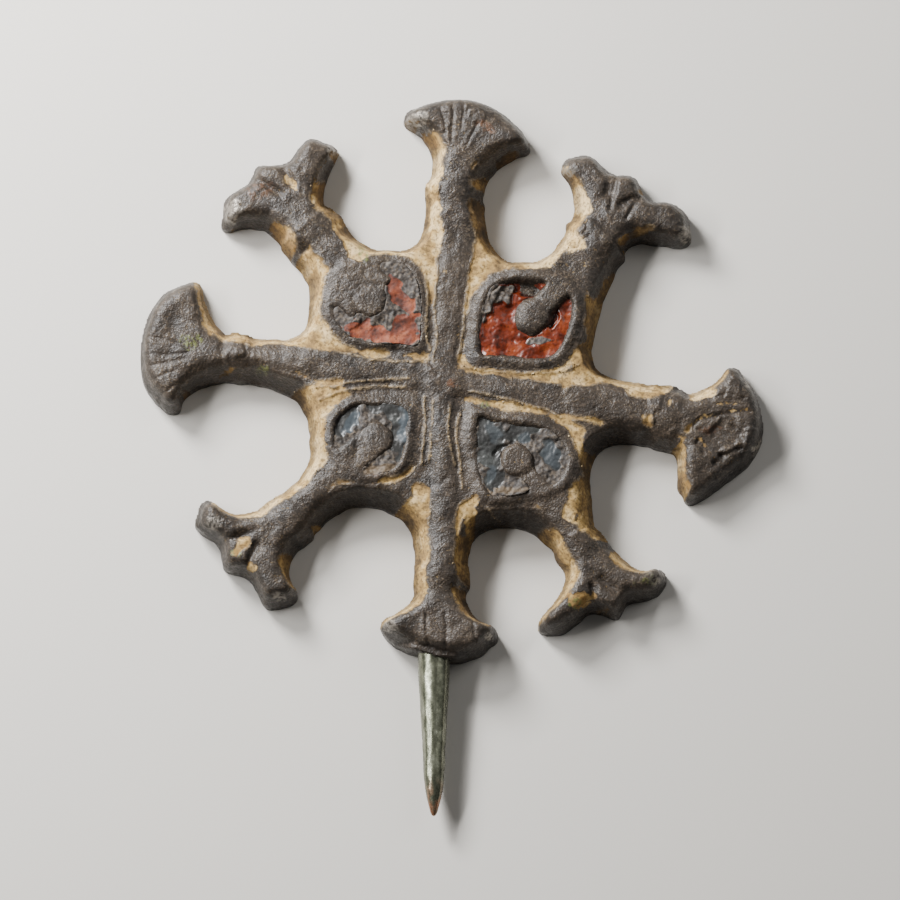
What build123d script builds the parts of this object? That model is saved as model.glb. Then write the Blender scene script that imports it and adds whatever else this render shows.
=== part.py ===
"""Enamelled pin badge: a cast cross of eight arms with four enamel cells, on a tapered pin.

Sizes are in millimetres. The badge lies on its flat back: X runs to the right, Y towards
the top arm and Z out of the face, and the origin is the hub's centre on the back.
"""
from build123d import *
from collections import namedtuple
from math import atan2, cos, hypot, radians, sin
import os

os.makedirs("parts", exist_ok=True)

# Driving dimensions
cast_thick = 4.0          # flat back to the crest of the hub and rims
fan_reach = 26.0          # hub centre to the crown of a cross arm
fan_half = 5.5            # arm's axis to the horn tips of a cross arm
leaf_reach = 24.7         # hub centre to the tip of a diagonal arm
leaf_half = 5.8           # arm's axis to the horn tips of a diagonal arm
rod_half = 2.5            # half the width of a rod at the back
horn_round = 0.8          # radius of a horn's blunt tip
flank_spread = 1.7        # how far the crest stands in from the foot of its flanks
cell_size = 12.5          # hub centre to the far side of a cell's rim
rim_width = 1.3           # metal between a cell's crest line and its enamel
groove_depth = 0.8        # grooves beside the rods, from the crest to their floor
web_taper = 35            # degrees that the edge of the plate under the grooves leans in
enamel_depth = 1.3        # depth of the beds that hold the enamel
enamel_sunk = 0.45        # how far the enamel's face lies below the rims
enamel_gap = 0.04         # clearance round the enamel in its bed
boss_radius = 1.55        # round end of a diagonal arm, inside its cell
ring_rise = 0.2           # how far the cast rings stand out of the arms
ring_length = 1.8         # width of a ring, measured along its arm
vein_width = 0.8          # the two veins cut in each diagonal arm's leaf
vein_depth = 0.7
vein_run_out = 2.2        # how far a vein's cut runs on past the notch it ends in
pin_radius = 1.38         # pin where it leaves the lower arm
pin_length = 13.4         # free length of the pin below the lower arm
pin_socket = 5.5          # length of the pin inside the lower arm
pin_offset = 0.85         # how far the pin stands to the left of the hub
pin_floor = 0.34          # metal between the pin and the back
pin_clearance = 0.03      # all round the pin in its socket
socket_mouth = 1.0        # how far the socket's cut runs out past the arm's edge

# Flanks of everything cast: height as a share of the thickness, inset as one of the spread
FLANK = ((0.0, 0.0), (0.5, 0.2), (0.82, 0.52), (0.96, 0.82), (1.0, 1.12))
crest_line = 0.7          # share of the spread at which a cell's crest outline is measured
web_reach = 0.944         # foot of the plate under the grooves, as a share of cell_size

# Landmarks up one side of an arm, each (along, across). Along is a share of the arm's reach.
# Across is a share of rod_half up to the waist, and of fan_half or leaf_half past it.
Side = namedtuple("Side", "root mid rod collar waist belly tip brow notch")
Arm = namedtuple("Arm", "name turn reach half end_thick crown left right")
ARMS = (
    Arm("top", 85.4, 0.967, 1.0, 0.88, (1.0, 0.11),
        Side((-0.08, 0.90), (0.26, 1.00), (0.577, 1.13), (0.689, 1.14), (0.769, 1.02),
             (0.854, 0.64), (0.915, 0.98), (0.978, 0.58), None),
        Side((-0.08, 0.90), (0.26, 1.00), (0.577, 0.93), (0.656, 0.76), (0.727, 0.93),
             (0.804, 0.73), (0.845, 1.02), (0.925, 0.80), None)),
    Arm("left", 173.0, 1.003, 1.12, 0.85, (1.0, 0.0),
        Side((-0.08, 0.90), (0.26, 0.96), (0.530, 0.80), (0.672, 0.60), (0.733, 0.73),
             (0.808, 0.42), (0.876, 0.84), (0.950, 0.62), None),
        Side((-0.08, 0.90), (0.26, 1.00), (0.556, 1.00), (0.689, 0.92), (0.733, 0.97),
             (0.782, 0.58), (0.838, 1.05), (0.955, 0.78), None)),
    Arm("bottom", 269.0, 0.919, 0.89, 0.97, (1.0, 0.06),
        Side((-0.08, 0.85), (0.28, 0.92), (0.619, 0.97), (0.696, 0.93), (0.766, 0.88),
             (0.832, 0.58), (0.912, 1.01), (0.960, 0.76), None),
        Side((-0.08, 0.85), (0.28, 0.90), (0.607, 0.84), (0.711, 0.83), (0.760, 0.93),
             (0.828, 0.77), (0.870, 1.03), (0.948, 0.75), None)),
    Arm("right", -9.0, 1.056, 1.2, 0.72, (1.0, -0.08),
        Side((-0.08, 0.90), (0.25, 1.00), (0.560, 1.19), (0.698, 1.08), (0.747, 1.06),
             (0.805, 0.52), (0.889, 0.83), (0.948, 0.58), None),
        Side((-0.08, 0.90), (0.25, 0.96), (0.560, 1.00), (0.700, 0.90), (0.738, 1.06),
             (0.754, 0.71), (0.802, 1.05), (0.905, 0.73), None)),
    Arm("upper_left", 129.0, 1.008, 0.98, 0.80, (1.006, 0.06),
        Side((0.36, 1.00), None, (0.606, 1.20), (0.705, 1.19), (0.790, 1.22),
             (0.838, 0.64), (0.915, 1.03), (0.985, 0.72), (0.982, 0.27)),
        Side((0.36, 0.90), None, (0.606, 0.86), (0.697, 0.88), (0.748, 0.82),
             (0.812, 0.57), (0.883, 1.05), (0.966, 0.81), (0.962, 0.23))),
    Arm("upper_right", 47.0, 0.998, 1.06, 0.80, (0.992, 0.09),
        Side((0.36, 0.50), None, (0.618, 0.46), (0.714, 0.74), (0.784, 1.07),
             (0.806, 0.53), (0.862, 1.00), (0.948, 0.71), (0.952, 0.34)),
        Side((0.36, 1.40), None, (0.640, 1.75), (0.750, 1.40), (0.811, 1.27),
             (0.858, 0.67), (0.952, 1.11), (1.018, 0.60), (0.970, 0.20))),
    Arm("lower_left", 220.0, 0.992, 1.0, 0.82, (1.0, 0.03),
        Side((0.36, 1.00), None, (0.620, 0.98), (0.738, 1.10), (0.788, 1.25),
             (0.830, 0.66), (0.880, 1.07), (0.978, 0.77), (0.958, 0.32)),
        Side((0.36, 1.00), None, (0.593, 0.79), (0.706, 0.75), (0.759, 0.79),
             (0.830, 0.47), (0.905, 0.98), (0.983, 0.66), (0.960, 0.27))),
    Arm("lower_right", -52.8, 1.016, 0.96, 0.80, (1.000, -0.06),
        Side((0.36, 1.40), None, (0.610, 1.60), (0.733, 1.10), (0.810, 1.17),
             (0.872, 0.56), (0.985, 0.90), (1.008, 0.54), (0.974, 0.16)),
        Side((0.36, 0.60), None, (0.600, 0.52), (0.715, 0.54), (0.766, 0.71),
             (0.815, 0.74), (0.858, 1.14), (0.922, 0.71), (0.940, 0.27))),
)

# How much of the inset each landmark takes, so that narrow horns keep a crest
HOLD = {"root": 0.9, "mid": 1.0, "rod": 1.0, "collar": 1.0, "waist": 0.95, "belly": 0.75,
        "tip": 0.0, "brow": 0.6, "notch": 0.65, "crown": 0.55}
horn_pull_back = 0.6      # share of the inset by which a tip's centre moves back
horn_shrink = 0.45        # share of a tip's radius that is gone at the crest
horn_spread = 70          # degrees each side of the horn's line where its tip arc starts
rod_keep = 0.85           # most of a rod's half width that the inset may take
horn_keep = 0.8           # most of a horn's thickness that the insets of its two sides may take

# Crest outline of each cell, as (x, y) shares of cell_size in its own quadrant: the corner by
# the hub, along the X rod, the shoulder, the arm, and back down the Y rod. Then its rim as a
# share of rim_width, its boss, and the boss's neck: bearing and half width in boss radii.
Cell = namedtuple("Cell", "name x_sign y_sign corner x_side x_end x_hip arm y_hip y_end"
                          " y_side rim boss neck_turn neck_half")
CELLS = (
    Cell("upper_right", 1, 1, (0.150, 0.095), (0.50, 0.080), (0.82, 0.115), (0.94, 0.36),
         (0.87, 0.71), (0.62, 0.775), (0.33, 0.740), (0.180, 0.48),
         0.90, (0.595, 0.440), 47, 0.65),
    Cell("lower_right", 1, -1, (0.135, 0.155), (0.50, 0.225), (0.80, 0.320), (0.91, 0.56),
         (0.78, 0.80), (0.56, 0.86), (0.27, 0.850), (0.135, 0.50),
         0.88, (0.490, 0.560), -50, 0.58),
    Cell("lower_left", -1, -1, (0.190, 0.125), (0.45, 0.112), (0.70, 0.150), (0.81, 0.29),
         (0.74, 0.60), (0.50, 0.710), (0.29, 0.645), (0.195, 0.38),
         0.73, (0.462, 0.402), 220, 0.97),
    Cell("upper_left", -1, 1, (0.110, 0.170), (0.42, 0.205), (0.71, 0.290), (0.81, 0.50),
         (0.76, 0.78), (0.50, 0.860), (0.24, 0.830), (0.105, 0.48),
         0.68, (0.480, 0.545), 135, 1.68),
)
corner_round = 0.7        # rounding of a cell's corner at the hub
bed_corner_round = 0.35   # the same in its enamel bed
corner_bulge = 0.3        # how near the rounding keeps to the corner, as a share of it

# Veins from the middle of a leaf to the notches beside its middle lobe
vein_start = 0.86         # share of the arm's reach
vein_root = 0.35          # how far out they start, as a share of the notch's own place

# Pin below the lower arm: share of its free length, share of its radius
PIN_TAPER = ((0.0, 1.0), (0.27, 0.885), (0.57, 0.72), (0.85, 0.52), (0.965, 0.24))


def inset_outline(points, steps):
    """Move each landmark of a closed outline inwards, square to its neighbours' chord."""
    moved = []
    for index, (x, y) in enumerate(points):
        before = points[index - 1]
        after = points[(index + 1) % len(points)]
        chord_x = after[0] - before[0]
        chord_y = after[1] - before[1]
        share = steps[index] / hypot(chord_x, chord_y)
        moved.append((x + chord_y * share, y - chord_x * share))
    return moved


def horn_arc(tip, belly, brow, inset):
    """Three points round a horn's blunt tip, clockwise, drawn back along the horn by the inset."""
    line = atan2(tip[1] - (belly[1] + brow[1]) / 2, tip[0] - (belly[0] + brow[0]) / 2)
    pull = horn_round + horn_pull_back * inset
    radius = horn_round * (1 - horn_shrink * inset / (flank_spread * FLANK[-1][1]))
    arc = []
    for turn in (line + radians(horn_spread), line, line - radians(horn_spread)):
        arc.append((tip[0] - pull * cos(line) + radius * cos(turn),
                    tip[1] - pull * sin(line) + radius * sin(turn)))
    return arc


def arm_size(arm):
    """Real reach and half width of an arm."""
    if arm.left.notch is None:
        return arm.reach * fan_reach, arm.half * fan_half
    return arm.reach * leaf_reach, arm.half * leaf_half


def side_landmarks(side, sign, reach, half, inset):
    """One side's landmarks from its root to its horn, as (name, x, y, inset there)."""
    horn = hypot((side.brow[0] - side.belly[0]) * reach, (side.brow[1] - side.belly[1]) * half)
    landmarks = []
    for name, spot in side._asdict().items():
        if spot is not None:
            on_rod = name in ("root", "mid", "rod", "collar", "waist")
            across = spot[1] * (rod_half if on_rod else half)
            step = HOLD[name] * inset
            if on_rod:
                step = min(step, rod_keep * across)
            if name in ("belly", "brow"):
                step = min(step, horn_keep * horn / 2)
            landmarks.append((name, spot[0] * reach, sign * across, step))
    return landmarks


def arm_outline(arm, inset):
    """Clockwise outline of an arm along +X: its left flank, end and right flank, each a run of
    points, and the arcs of its two horns.
    """
    reach, half = arm_size(arm)
    left = side_landmarks(arm.left, 1, reach, half, inset)
    right = side_landmarks(arm.right, -1, reach, half, inset)
    crown = ("crown", arm.crown[0] * reach, arm.crown[1] * half, HOLD["crown"] * inset)
    landmarks = left + [crown] + right[::-1]
    points = [(x, y) for name, x, y, step in landmarks]
    moved = inset_outline(points, [step for name, x, y, step in landmarks])
    runs = [[]]
    arcs = []
    for index, (name, x, y, step) in enumerate(landmarks):
        if name == "tip":
            arcs.append(horn_arc((x, y), points[index - 1], points[index + 1], inset))
            runs[-1].append(arcs[-1][0])
            runs.append([arcs[-1][-1]])
        else:
            runs[-1].append(moved[index])
    return runs, arcs


def arm_sections(arm):
    """The outlines of an arm from its back to its crest, each inset and leaning to the end."""
    reach = arm_size(arm)[0]
    along_x = cos(radians(arm.turn))
    along_y = sin(radians(arm.turn))
    sections = []
    for rise, share in FLANK:
        fall = rise * cast_thick * (1 - arm.end_thick) / reach
        level = Plane(origin=(0, 0, rise * cast_thick), x_dir=(along_x, along_y, -fall),
                      z_dir=(fall * along_x, fall * along_y, 1))
        runs, arcs = arm_outline(arm, share * flank_spread)
        with BuildSketch(level) as section:
            with BuildLine():
                for run in runs:
                    Spline(*run)
                for arc in arcs:
                    ThreePointArc(*arc)
                Line(runs[-1][-1], runs[0][0])
            make_face()
        sections.append(section.sketch)
    return sections


def cell_outline(cell, inset, rounding):
    """Outline of a cell, inset from its crest line: its corner's arc, and the run round the rest."""
    spots = (cell.corner, cell.x_side, cell.x_end, cell.x_hip, cell.arm, cell.y_hip, cell.y_end,
             cell.y_side)
    points = [(x * cell_size, y * cell_size) for x, y in spots]
    moved = inset_outline(points, [-inset] * len(points))
    corner_x = points[0][0] + inset
    corner_y = points[0][1] + inset
    slope_x = (moved[1][1] - corner_y) / (moved[1][0] - corner_x)
    slope_y = (moved[-1][0] - corner_x) / (moved[-1][1] - corner_y)
    rounded = [(corner_x + slope_y * rounding, corner_y + rounding),
               (corner_x + rounding * corner_bulge, corner_y + rounding * corner_bulge),
               (corner_x + rounding, corner_y + slope_x * rounding)]
    arc = [(cell.x_sign * x, cell.y_sign * y) for x, y in rounded]
    sides = [(cell.x_sign * x, cell.y_sign * y) for x, y in moved[1:]]
    return arc, [arc[-1]] + sides + [arc[0]]


def cell_sections(cell):
    """The outlines of a cell's plate from its back to its crest."""
    sections = []
    for rise, share in FLANK:
        inset = (share - crest_line) * flank_spread
        with BuildSketch(Plane.XY.offset(rise * cast_thick)) as section:
            arc, run = cell_outline(cell, inset, corner_round)
            with BuildLine():
                ThreePointArc(*arc)
                Spline(*run)
            make_face()
        sections.append(section.sketch)
    return sections


def bed_sketch(cell, height, shrink):
    """The enamel's outline at a height: inside the rim, and round the boss and its neck."""
    boss_x = cell.x_sign * cell.boss[0] * cell_size
    boss_y = cell.y_sign * cell.boss[1] * cell_size
    rim = cell.rim * rim_width
    neck = cell.neck_half * boss_radius
    arc, run = cell_outline(cell, rim + shrink, bed_corner_round)
    with BuildSketch(Plane.XY.offset(height)) as bed:
        with BuildLine():
            ThreePointArc(*arc)
            Spline(*run)
        make_face()
        with Locations((boss_x, boss_y)):
            Circle(boss_radius + shrink, mode=Mode.SUBTRACT)
        with Locations(Location((boss_x, boss_y), cell.neck_turn)):
            with Locations((-shrink, 0)):
                Rectangle(cell_size, 2 * (neck + shrink), align=(Align.MIN, Align.CENTER),
                          mode=Mode.SUBTRACT)
    return bed.sketch


def crest_spot(arm, along, aside):
    """A point on an arm's crest, at distances along and to the left of its axis."""
    reach = arm_size(arm)[0]
    lie = radians(arm.turn)
    crest = cast_thick * (1 - (1 - arm.end_thick) * along / reach)
    return Vector(along * cos(lie) - aside * sin(lie), along * sin(lie) + aside * cos(lie), crest)


def ring_section(arm):
    """The section of an arm's ring: the arm's own flanks at its collars, moved outwards."""
    reach = arm_size(arm)[0]
    place = (arm.left.collar[0] + arm.right.collar[0]) / 2
    top = crest_spot(arm, place * reach, 0)
    sides = []
    for sign, collar in ((1, arm.left.collar), (-1, arm.right.collar)):
        foot = collar[1] * rod_half + ring_rise
        sides.append([(sign * (foot - share * flank_spread), rise * (top.Z + ring_rise))
                      for rise, share in FLANK])
    lie = radians(arm.turn)
    with BuildSketch(Plane(origin=(top.X, top.Y, 0), x_dir=(-sin(lie), cos(lie), 0),
                           z_dir=(cos(lie), sin(lie), 0))) as section:
        Polygon(*sides[0], *sides[1][::-1], align=None)
    return section.sketch


def vein_lines(arm):
    """The start plane and length of each vein in a leaf, one towards each notch."""
    reach, half = arm_size(arm)
    lines = []
    for sign, side in ((1, arm.left), (-1, arm.right)):
        if side.notch is not None:
            across = sign * side.notch[1] * half
            run = (side.notch[0] - vein_start) * reach
            spread = across * (1 - vein_root)
            look = radians(arm.turn) + atan2(spread, run)
            start = Plane(origin=crest_spot(arm, vein_start * reach, across * vein_root),
                          x_dir=(-sin(look), cos(look), 0), z_dir=(cos(look), sin(look), 0))
            lines.append((start, hypot(run, spread) + vein_run_out))
    return lines


# Pin shank: a tapered round shank with a worn tip, driven into the lower arm
lower_arm = ARMS[2]
pin_origin = Vector(-pin_offset, -arm_size(lower_arm)[0], pin_floor + pin_radius)
with BuildPart() as pin_shank:
    with BuildSketch(Plane(origin=pin_origin)):
        taper = [(pin_radius * share, -pin_length * along) for along, share in PIN_TAPER]
        with BuildLine():
            Line((0, pin_socket), (pin_radius, pin_socket))
            Line((pin_radius, pin_socket), taper[0])
            Spline(*taper, (0, -pin_length), tangents=((0, -1), (-1, 0)))
            Line((0, -pin_length), (0, pin_socket))
        make_face()
    revolve(axis=Axis(pin_origin, (0, 1, 0)))
pin_shank.part.label = "pin_shank"
export_step(pin_shank.part, "parts/pin_shank.step")

# Cast cross: arms, cells and the plate under the grooves in one casting, with its cast rings,
# and with the enamel beds, the leaves' veins and the pin's socket cut in it
with BuildPart() as cast_cross:
    with BuildSketch():
        Circle(web_reach * cell_size)
    extrude(amount=cast_thick - groove_depth, taper=web_taper)
    for arm in ARMS:
        loft(arm_sections(arm), ruled=True)
    for cell in CELLS:
        loft(cell_sections(cell), ruled=True)
    for arm in ARMS:
        extrude(ring_section(arm), amount=ring_length / 2, both=True)
    for cell in CELLS:
        extrude(bed_sketch(cell, cast_thick - enamel_depth, 0.0), amount=enamel_depth + ring_rise,
                mode=Mode.SUBTRACT)
    vein_half = vein_width / 2 * (1 + ring_rise / vein_depth)
    for arm in ARMS:
        for plane, length in vein_lines(arm):
            with BuildSketch(plane):
                Polygon((-vein_half, ring_rise), (vein_half, ring_rise), (0, -vein_depth),
                        align=None)
            extrude(amount=length, mode=Mode.SUBTRACT)
    with BuildSketch(Plane(origin=pin_origin - Vector(0, socket_mouth, 0), x_dir=(1, 0, 0),
                           z_dir=(0, 1, 0))):
        Circle(pin_radius + pin_clearance)
    extrude(amount=socket_mouth + pin_socket + pin_clearance, mode=Mode.SUBTRACT)
cast_cross.part.label = "cast_cross"
export_step(cast_cross.part, "parts/cast_cross.step")

# Enamel: one fill for each cell
for cell in CELLS:
    floor = cast_thick - enamel_depth + enamel_gap
    with BuildPart() as enamel:
        extrude(bed_sketch(cell, floor, enamel_gap), amount=cast_thick - enamel_sunk - floor)
    enamel.part.label = "enamel_" + cell.name
    export_step(enamel.part, "parts/enamel_" + cell.name + ".step")
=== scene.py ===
"""Looks of an enamelled pin badge: worn cast bronze under a dark crust, earth in its hollows,
decayed enamel in four cells and a rubbed bronze pin. The relief is worked out on grids laid
over the pieces, seen from above, in millimetres, and made into meshes in metres.
"""
import math
from collections import namedtuple
from functools import partial

import bmesh
import bpy
import numpy as np
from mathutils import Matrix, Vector
from mathutils.bvhtree import BVHTree
from mathutils.geometry import delaunay_2d_cdt


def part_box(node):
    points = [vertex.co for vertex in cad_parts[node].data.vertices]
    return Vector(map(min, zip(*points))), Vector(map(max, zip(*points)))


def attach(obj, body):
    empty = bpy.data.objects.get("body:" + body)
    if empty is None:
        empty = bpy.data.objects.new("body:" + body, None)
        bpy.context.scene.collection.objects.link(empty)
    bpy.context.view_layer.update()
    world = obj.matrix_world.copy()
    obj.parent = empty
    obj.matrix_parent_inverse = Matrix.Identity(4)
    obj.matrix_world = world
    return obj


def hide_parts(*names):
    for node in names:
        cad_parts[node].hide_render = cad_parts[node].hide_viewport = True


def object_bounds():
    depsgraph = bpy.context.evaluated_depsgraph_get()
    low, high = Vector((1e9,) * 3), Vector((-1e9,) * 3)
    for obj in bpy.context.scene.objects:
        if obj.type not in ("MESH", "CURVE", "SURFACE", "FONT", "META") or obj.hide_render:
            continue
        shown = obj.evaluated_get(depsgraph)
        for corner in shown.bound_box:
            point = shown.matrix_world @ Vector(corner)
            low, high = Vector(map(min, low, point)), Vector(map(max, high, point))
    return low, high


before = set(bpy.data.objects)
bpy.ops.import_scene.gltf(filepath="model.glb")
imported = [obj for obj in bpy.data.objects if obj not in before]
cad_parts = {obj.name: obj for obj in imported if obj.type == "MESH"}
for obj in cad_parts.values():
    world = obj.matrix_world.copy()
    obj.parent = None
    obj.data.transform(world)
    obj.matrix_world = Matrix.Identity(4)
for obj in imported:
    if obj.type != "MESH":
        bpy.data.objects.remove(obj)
cad_low, cad_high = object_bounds()

# Sizes in millimetres, unless a comment says otherwise
mm = 0.001                # metres in a millimetre
seed = 7                  # start of every random draw
weld = 1e-7               # metres within which a CAD mesh's loose corners are one
cast_step = 0.114         # grid of the casting's relief
enamel_step = 0.055       # the same for the enamel
grid_margin = 2.2         # empty border round a grid
clear_above = 1.0         # how far over the badge its heights are looked for from
nowhere = -100            # height where the grid has no piece under it
outline_cover = 0.5       # cover at which a piece's outline runs
edge_outside = 0.16       # what a blurred edge comes to one radius outside it
edge_inside = 0.84        # and one radius inside

# The photograph's view, which the marks below are placed by
hub_photo = (444, 389)    # pixels, where the hub's centre on the back shows
photo_pixel = 0.085       # millimetres that a pixel covers
photo_middle = 450        # pixels
view_height = 78          # degrees above the horizon
view_rise = math.sin(math.radians(view_height))
view_lean = math.cos(math.radians(view_height))

rng = np.random.default_rng(seed)

# Marks that lie on a piece as layers, and the layers that its finish reads
MARK_LAYERS = ("flake", "crust", "soften", "ridge", "pale", "ochre", "rust", "green", "worn",
               "glass", "decay", "dark")
CAST_LAYERS = ("crust", "lip", "cream", "hollow", "ochre", "rust", "green", "worn")
ENAMEL_LAYERS = ("glass", "pale", "ochre", "dark")

# How the marks lie
mark_edge = 0.18          # unevenness of a mark's edge, as a share of its size
mark_edge_size = 0.9      # spacing of that unevenness
line_edge = 0.8           # a line's unevenness, as a share of a spot's
spot_fade = (0.7, 1.1)    # where a spot starts to fade and where it ends, as shares of its axes
dome_rise = 0.6           # share of a dome's height over the surface; the rest is a dent round it
RISE = {"lump": 1, "ridge": 1, "hollow": -1, "cut": -1}  # which way a mark moves the surface


def step_up(value, low, high):
    """0 below low, 1 above high, and smooth between."""
    share = np.clip((value - low) / (high - low), 0, 1)
    return share * share * (3 - 2 * share)


def merged(node):
    """A CAD node's shape with its loose triangles joined."""
    shape = bmesh.new()
    shape.from_mesh(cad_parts[node].data)
    bmesh.ops.remove_doubles(shape, verts=shape.verts, dist=weld)
    return shape


class Relief:
    """A grid over a piece, seen from above: its height, and layers of what lies on it."""

    def __init__(self, node, step):
        low, high = (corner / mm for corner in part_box(node))
        self.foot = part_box(node)[0].z / mm
        self.step = step
        self.tree = BVHTree.FromBMesh(merged(node))
        self.xs = np.arange(low.x - grid_margin, high.x + grid_margin, step)
        self.ys = np.arange(low.y - grid_margin, high.y + grid_margin, step)
        self.x, self.y = np.meshgrid(self.xs, self.ys)
        self.shape = self.x.shape
        waves_y = np.fft.fftfreq(self.shape[0], step)[:, None]
        waves_x = np.fft.rfftfreq(self.shape[1], step)[None, :]
        self.waves = 2 * math.pi ** 2 * (waves_x ** 2 + waves_y ** 2)
        self.cad = np.array([[self.top(x, y) for x in self.xs] for y in self.ys])
        self.inside = self.cad > nowhere
        self.cad = np.where(self.inside, self.cad, low.z)
        self.height = self.cad.copy()
        self.cover = self.inside * 1.0
        self.layers = {kind: np.zeros(self.shape) for kind in MARK_LAYERS}
        self.photo_x = hub_photo[0] + self.x / photo_pixel
        seen = view_rise * self.y + view_lean * self.height
        self.photo_y = hub_photo[1] - seen / photo_pixel

    def top(self, x, y):
        """Height of the piece's top at a point, or nowhere."""
        start = Vector((x * mm, y * mm, cad_high.z + clear_above * mm))
        hit = self.tree.ray_cast(start, Vector((0, 0, -1)))[0]
        return nowhere if hit is None else hit.z / mm

    def smooth(self, field, radius):
        """The field blurred by a bell of that radius."""
        return np.fft.irfft2(np.fft.rfft2(field) * np.exp(-self.waves * radius ** 2), self.shape)

    def smooth_within(self, field, radius):
        """The field blurred without what lies outside the piece."""
        least = 1e-4      # keeps the weight from being 0 far outside
        weight = np.maximum(self.smooth(self.inside * 1.0, radius), least)
        return self.smooth(np.where(self.inside, field, 0), radius) / weight

    def ripple(self, size):
        """Random bumps about that far apart, with a spread of 1: noise blurred by a bell that is
        a quarter as wide."""
        bumps = self.smooth(rng.standard_normal(self.shape), size / 4)
        return bumps / bumps.std()

    def ripples(self, bumps):
        """Several ripples added up, each given as its height and its size."""
        return sum(height * self.ripple(size) for height, size in bumps)

    def spread(self, field, reach):
        """The highest value of the field within that reach, in a square."""
        left = max(1, round(reach / self.step))
        stride = 1
        while left > 0:
            stride = min(stride, left)
            for axis in (0, 1):
                ahead = np.roll(field, stride, axis)
                behind = np.roll(field, -stride, axis)
                field = np.maximum(field, np.maximum(ahead, behind))
            left -= stride
            stride *= 2
        return field

    def at(self, field, x, y):
        """The field's values at points that lie between its own."""
        last = 1.001      # just over one step from the end, so that a next value exists
        column = np.clip((x - self.xs[0]) / self.step, 0, self.shape[1] - last)
        row = np.clip((y - self.ys[0]) / self.step, 0, self.shape[0] - last)
        left, below = column.astype(int), row.astype(int)
        across, up = column - left, row - below
        lower = field[below, left] * (1 - across) + field[below, left + 1] * across
        upper = field[below + 1, left] * (1 - across) + field[below + 1, left + 1] * across
        return lower * (1 - up) + upper * up

    def closed(self, width):
        """The piece's plan with its inner corners filled, as if grown and worn back again."""
        grown = self.smooth(self.inside * 1.0, width) > edge_outside
        return self.inside | (self.smooth(grown * 1.0, width) > edge_inside)

    def trim(self, round_off, uneven):
        """Draw the piece's outline anew, with worn corners and small unevenness."""
        self.cover = self.smooth(self.inside * 1.0, round_off) + self.ripples(uneven)
        self.inside = self.cover > outline_cover

    def slope(self, field, width):
        """Slope of a blurred field towards +X and +Y."""
        rise_y, rise_x = np.gradient(self.smooth_within(field, width), self.step)
        return rise_x, rise_y

    def spot(self, mark, ragged):
        """Share of a mark's ellipse that covers each point, with an uneven edge."""
        return 1 - step_up(self.distance(mark) + ragged, *spot_fade)

    def distance(self, mark):
        """How far each point is from a mark's centre, as a share of its ellipse."""
        turn = math.radians(mark.turn)
        right, down = self.photo_x - mark.x, self.photo_y - mark.y
        along = right * math.cos(turn) - down * math.sin(turn)
        aside = right * math.sin(turn) + down * math.cos(turn)
        return np.hypot(along / mark.long, aside / mark.wide)

    def stroke(self, line, ragged):
        """Share of a line's width that covers each point, fading off to its sides."""
        cover = np.zeros(self.shape)
        for start, end in zip(line.points, line.points[1:]):
            run_x, run_y = end[0] - start[0], end[1] - start[1]
            run = run_x ** 2 + run_y ** 2
            share = ((self.photo_x - start[0]) * run_x + (self.photo_y - start[1]) * run_y) / run
            share = np.clip(share, 0, 1)
            away = np.hypot(self.photo_x - start[0] - share * run_x,
                            self.photo_y - start[1] - share * run_y) * photo_pixel
            cover = np.maximum(cover, np.exp(-(away / line.width) ** 2 * (1 + ragged)))
        return cover


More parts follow.
